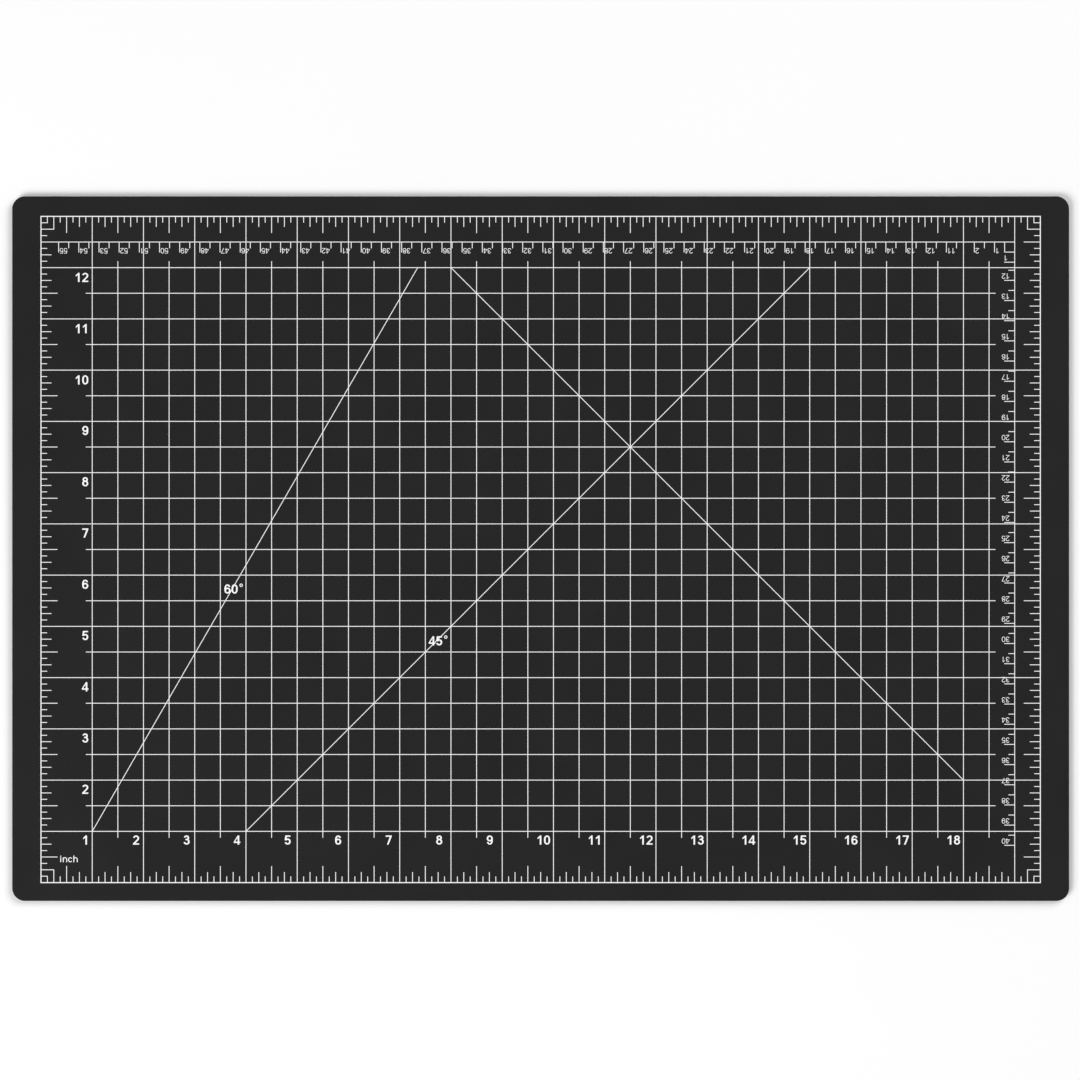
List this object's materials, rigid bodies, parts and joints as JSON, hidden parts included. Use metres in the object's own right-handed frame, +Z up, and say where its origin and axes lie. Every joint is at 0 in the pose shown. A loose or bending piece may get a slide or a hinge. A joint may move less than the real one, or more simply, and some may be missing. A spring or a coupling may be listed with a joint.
{
  "type": "self healing cutting mat",
  "caption": "Flat five-ply rectangular cutting mat with rounded corners, printed on one face with inch and centimetre rulers, a half-inch grid and 45 and 60 degree guide lines.",
  "frame": {"origin": "middle of the underside, on the surface that the mat lies on", "axes": "+X along the long edge to the right as the inch numerals read, +Y to the back edge, +Z up through the plies to the printed face"},
  "size_m": [0.5238, 0.3492, 0.003],
  "materials": {
    "cutting_skin": "matte",
    "tie_ply": "matte",
    "core": "satin",
    "printed_ink": "matte"
  },
  "bodies": {
    "root": {"bottom_cutting_skin": "cutting_skin", "lower_tie_ply": "tie_ply", "core_sheet": "core", "upper_tie_ply": "tie_ply", "top_cutting_skin": "cutting_skin", "border_line": "printed_ink", "corner_squares": "printed_ink", "inch_lines_upright": "printed_ink", "inch_lines_level": "printed_ink", "half_inch_lines": "printed_ink", "half_inch_ticks": "printed_ink", "quarter_inch_ticks": "printed_ink", "eighth_inch_ticks": "printed_ink", "inch_numerals_front": "printed_ink", "inch_numerals_left": "printed_ink", "inch_label": "printed_ink", "centimetre_base_line": "printed_ink", "centimetre_zero_square": "printed_ink", "centimetre_ticks_back": "printed_ink", "half_centimetre_ticks_back": "printed_ink", "centimetre_numerals_back": "printed_ink", "centimetre_ticks_side": "printed_ink", "half_centimetre_ticks_side": "printed_ink", "centimetre_numerals_side": "printed_ink", "angle_line_60": "printed_ink", "angle_line_45_rising": "printed_ink", "angle_line_45_falling": "printed_ink", "angle_label_60": "printed_ink", "angle_label_45": "printed_ink"}
  },
  "joints": []
}
